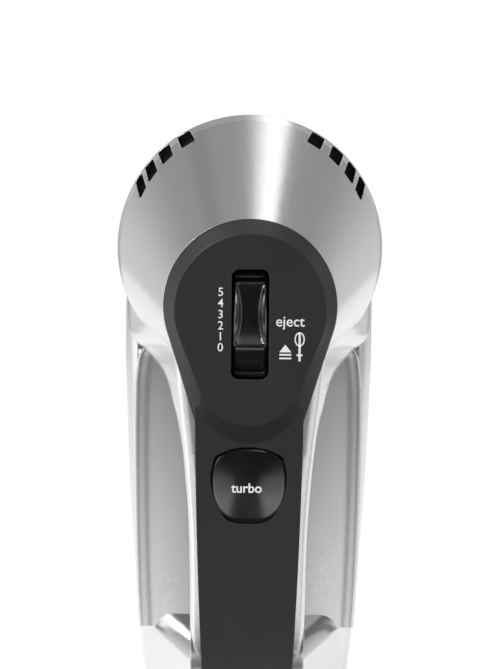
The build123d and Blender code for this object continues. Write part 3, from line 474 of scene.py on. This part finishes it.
# ---------------------------------------------------------------- speed wheel
def add_speed_wheel():
    """Gloss thumb wheel: a waisted dish between two rails, then the ridge of its lowest speed."""
    joint = next(joint for joint in frame["joints"] if joint["name"] == "speed_turn")
    axis = Vector(joint["pos_m"])
    radius, half, hub = 25.0, 5.45, 6.5
    # Where the wheel starts and ends, its ridge stands, and its dish runs out, in degrees
    first, last, ridge, dish_end = -86.0, 49.0, -15.3, 33.0
    dish_depth, rail_width, waist, rail_ease = 2.6, 0.9, 1.25, 0.6
    ridge_height, ridge_width, edge_round = 0.7, 3.0, 1.4
    turn_steps, width_steps = 108, 24
    rings = []
    for step in range(turn_steps + 1):
        angle = first + (last - first) * step / turn_steps
        along = min(max((angle - ridge) / (dish_end - ridge), 0), 1)
        depth = 0
        if 0 < along < 1:
            depth = dish_depth * math.sin(math.pi * along ** 0.85) ** 0.9
        rail = half - rail_width - waist * math.sin(math.pi * along)
        crest = ridge_height * math.exp(-(((angle - ridge) / ridge_width) ** 2)) - ridge_height
        row = [(-half, hub)]
        for i in range(-width_steps, width_steps + 1):
            x = half * math.sin(math.pi / 2 * i / width_steps)
            inside = min(max((rail + rail_ease - abs(x)) / (2 * rail_ease), 0), 1)
            inside = inside * inside * (3 - 2 * inside)
            edge = min(max(abs(x) - (half - edge_round), 0) / edge_round, 1)
            drop = edge_round * (1 - math.sqrt(1 - edge**2))
            row.append((x, radius + crest - depth * inside - drop))
        row.append((half, hub))
        turn = math.radians(angle)
        rings.append(
            [axis + Vector((x, -r * math.cos(turn), r * math.sin(turn))) * MM for x, r in row]
        )
    points, faces = joined(rings, closed=True)
    gloss = MATERIALS["gloss_black"]
    wheel = add_piece("thumb_wheel", points, faces, "speed", gloss)
    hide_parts("speed_wheel")


add_speed_wheel()


# ---------------------------------------------------------------- printed legends
def print_with_painted_glow():
    """Pale silver-white print with slightly uneven ink, which also glows faintly: painted light."""
    m = Nodes("print_with_painted_glow")
    ink = m.noise(900, detail=2)
    m.set(
        Base_Color=m.ramp(ink, (0.72, 0.72, 0.74), (0.86, 0.86, 0.88)),
        Roughness=m.ramp(ink, 0.4, 0.6),
        # Painted light: emission makes the print glow, brighter than the lamps alone would make it
        Emission_Color=(1, 1, 1, 1),
        Emission_Strength=0.25,
    )
    return m.material


# The legends' material carries a painted glow as well as the print's own colour
GLOWING_PRINT = print_with_painted_glow()


def add_strokes(name, outlines, y, body):
    """Thin printed shapes, each an outline of (x, z) in millimetres, from y to 0.1 mm behind it."""
    thickness = 0.1
    points, faces = [], []
    for outline in outlines:
        start, count = len(points), len(outline)
        points += [Vector((x, depth, z)) * MM for depth in (y, y + thickness) for x, z in outline]
        faces.append(tuple(range(start, start + count)))
        faces.append(tuple(range(start + 2 * count - 1, start + count - 1, -1)))
        for i in range(count):
            j = (i + 1) % count
            faces.append((start + i, start + j, start + count + j, start + count + i))
    add_piece(name, points, faces, body, GLOWING_PRINT, smooth=False)


def add_text(name, body, text, x, z, y, size, bold):
    """Built-in font, turned to face the handle side and made into a mesh 0.1 mm thick."""
    curve = bpy.data.curves.new(name, "FONT")
    curve.body = text
    curve.size = size * MM
    curve.align_x = "LEFT"
    curve.extrude = 0.05 * MM
    curve.offset = bold * MM
    curve.resolution_u = 4
    source = bpy.data.objects.new(name + "_source", curve)
    scene.collection.objects.link(source)
    bpy.context.view_layer.update()
    graph = bpy.context.evaluated_depsgraph_get()
    mesh = bpy.data.meshes.new_from_object(source.evaluated_get(graph))
    bpy.data.objects.remove(source)
    upright = Matrix.Rotation(math.radians(90), 4, "X")
    mesh.transform(Matrix.Translation((x * MM, y * MM, z * MM)) @ upright)
    mesh.materials.clear()
    mesh.materials.append(GLOWING_PRINT)
    piece = bpy.data.objects.new(name, mesh)
    scene.collection.objects.link(piece)
    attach(piece, body)


# Just in front of the cover and of the button, in millimetres
COVER_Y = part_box("handle_cover")[0][1] / MM - 0.03
TURBO_Y = turbo_low[1] / MM - 0.02

DIGIT_SIZE, DIGIT_HALF_HEIGHT = 3.75, 1.32
for number, z in zip("543210", (138.95, 135.5, 132.0, 128.5, 125.1, 121.7)):
    base = z - DIGIT_HALF_HEIGHT
    add_text("digit_" + number, "housing", number, -10.2, base, COVER_Y, DIGIT_SIZE, 0.02)
add_text("legend_eject", "housing", "eject", 7.9, 128.35, COVER_Y, 4.65, 0.03)
add_text("legend_turbo", "turbo", "turbo", -5.4, 76.3, TURBO_Y, 4.2, 0.07)


def rectangle(left, right, bottom, top):
    """Outline of an upright bar."""
    return [(left, bottom), (right, bottom), (right, top), (left, top)]


def beater_loop(half_x, half_z):
    """Ellipse of 32 points at the head of the beater icon."""
    turns = [i * math.pi / 16 for i in range(32)]
    return [(15.45 + half_x * math.cos(a), 124.3 + half_z * math.sin(a)) for a in turns]


def add_eject_icons():
    """An arrow over two bars, and a beater with its loop, stem and collar."""
    outer, inner = beater_loop(1.6, 2.25), beater_loop(1.2, 1.85)
    outlines = [
        [(9.15, 120.25), (12.9, 120.25), (11.02, 122.65)],
        rectangle(9.15, 12.9, 119.2, 119.75),
        rectangle(9.15, 12.9, 118.1, 118.6),
        rectangle(15.1, 15.8, 117.5, 126.5),
        rectangle(14.5, 16.35, 119.1, 119.65),
    ]
    for i in range(len(outer)):
        j = (i + 1) % len(outer)
        outlines.append([outer[i], outer[j], inner[j], inner[i]])
    add_strokes("eject_icons", outlines, COVER_Y - 0.02, "housing")


add_eject_icons()


# ---------------------------------------------------------------- stage and light
def add_floor():
    """A pale disc that reaches from just in front of the object to far behind it."""
    radius, centre_y = 3, 2.9
    mesh = bpy.data.meshes.new("floor")
    form = bmesh.new()
    place = Matrix.Translation((0, centre_y, 0))
    bmesh.ops.create_circle(form, cap_ends=True, segments=96, radius=radius, matrix=place)
    form.to_mesh(mesh)
    form.free()
    floor = bpy.data.objects.new("floor", mesh)
    scene.collection.objects.link(floor)
    m = Nodes("floor_paper")
    m.set(
        Base_Color=m.ramp(m.noise(3), (0.9, 0.9, 0.9), (0.92, 0.92, 0.92)),
        Roughness=0.9,
        Emission_Color=(1, 1, 1, 1),
        Emission_Strength=0.60,
    )
    mesh.materials.append(m.material)


def add_area(name, place, target, size, power):
    light = bpy.data.lights.new(name, "AREA")
    light.shape = "RECTANGLE"
    light.size, light.size_y = size
    light.energy = power
    lamp = bpy.data.objects.new(name, light)
    scene.collection.objects.link(lamp)
    lamp.location = place
    lamp.rotation_euler = (Vector(target) - Vector(place)).to_track_quat("-Z", "Y").to_euler()


def add_world():
    """A grey studio that the object reflects, behind a plain white that the camera sees."""
    world = bpy.data.worlds.new("studio")
    world.use_nodes = True
    tree = world.node_tree
    background = tree.nodes["Background"]

    def calculate(operation, *values):
        node = tree.nodes.new("ShaderNodeMath")
        node.operation = operation
        for socket, value in zip(node.inputs, values):
            if isinstance(value, bpy.types.NodeSocket):
                tree.links.new(value, socket)
            else:
                socket.default_value = value
        return node.outputs[0]

    def product(result, *values):
        for value in values:
            result = calculate("MULTIPLY", result, value)
        return result

    def step(value, start, end, low=0.0, high=1.0):
        """Goes smoothly from low to high as the value goes from start to end."""
        node = tree.nodes.new("ShaderNodeMapRange")
        node.interpolation_type = "SMOOTHSTEP"
        tree.links.new(value, node.inputs["Value"])
        ends = {"From Min": start, "From Max": end, "To Min": low, "To Max": high}
        for key, number in ends.items():
            node.inputs[key].default_value = number
        return node.outputs["Result"]

    # A direction: x to the right, y away from the camera's side, z up
    direction = tree.nodes.new("ShaderNodeTexCoord").outputs["Generated"]
    split = tree.nodes.new("ShaderNodeSeparateXYZ")
    tree.links.new(direction, split.inputs[0])
    x, y, z = split.outputs
    sideways = calculate("ABSOLUTE", x)
    lean = calculate("DIVIDE", x, calculate("MAXIMUM", z, 0.02))

    # The camera's side is dark, but for a low glow off its middle and light to either side
    low_glow = product(
        step(z, -0.02, -0.11, 0.0, 2.0), step(z, -0.45, -0.22), step(sideways, 0.03, 0.055)
    )
    flanks = product(step(sideways, 0.06, 0.3, 0.0, 0.6), step(z, 0.12, -0.02))
    front = calculate(
        "MAXIMUM", step(y, -0.95, -0.3, 0.05, 1.0), calculate("MAXIMUM", low_glow, flanks)
    )
    # Walls that darken to the ceiling, straight behind, straight to either side, and below
    room = product(
        step(z, 0.05, 0.75, 0.76, 0.36),
        step(y, 0.86, 0.98, 1.0, 0.5),
        step(sideways, 0.82, 0.95, 1.0, 0.6),
        step(z, -0.35, -0.10, 0.15, 1.0),
        front,
    )
    # On the ceiling, a darker band to the left and a long softbox near the middle
    band = product(
        step(lean, -0.60, -0.52), step(lean, -0.34, -0.38), step(z, 0.3, 0.6)
    )
    room = product(room, calculate("SUBTRACT", 1.0, product(band, 0.2)))
    strip = product(step(lean, -0.04, 0.17), step(lean, 0.315, 0.285), step(z, 0.3, 0.6))
    room = calculate("ADD", room, product(strip, 1.35))
    # A softbox on the left wall
    left_box = product(step(x, -0.84, -0.96), step(z, 0.55, 0.35))
    room = calculate("ADD", room, left_box)

    seen = tree.nodes.new("ShaderNodeLightPath").outputs["Is Camera Ray"]
    brightness = calculate("ADD", product(room, calculate("SUBTRACT", 1.0, seen)), seen)
    tree.links.new(brightness, background.inputs["Strength"])
    background.inputs["Color"].default_value = (1, 1, 1, 1)
    scene.world = world


add_floor()
add_world()
scene.view_settings.view_transform = "Standard"
add_area("left_box", (-1.0, -0.9, 0.8), (0, -0.05, 0.13), (0.5, 0.9), 3)
add_area("key_spot", (-0.45, -0.70, 0.80), (0, -0.07, 0.10), (0.14, 0.3), 3.5)
add_area("right_box", (1.1, -0.5, 0.5), (0, -0.05, 0.10), (0.3, 0.9), 1.5)
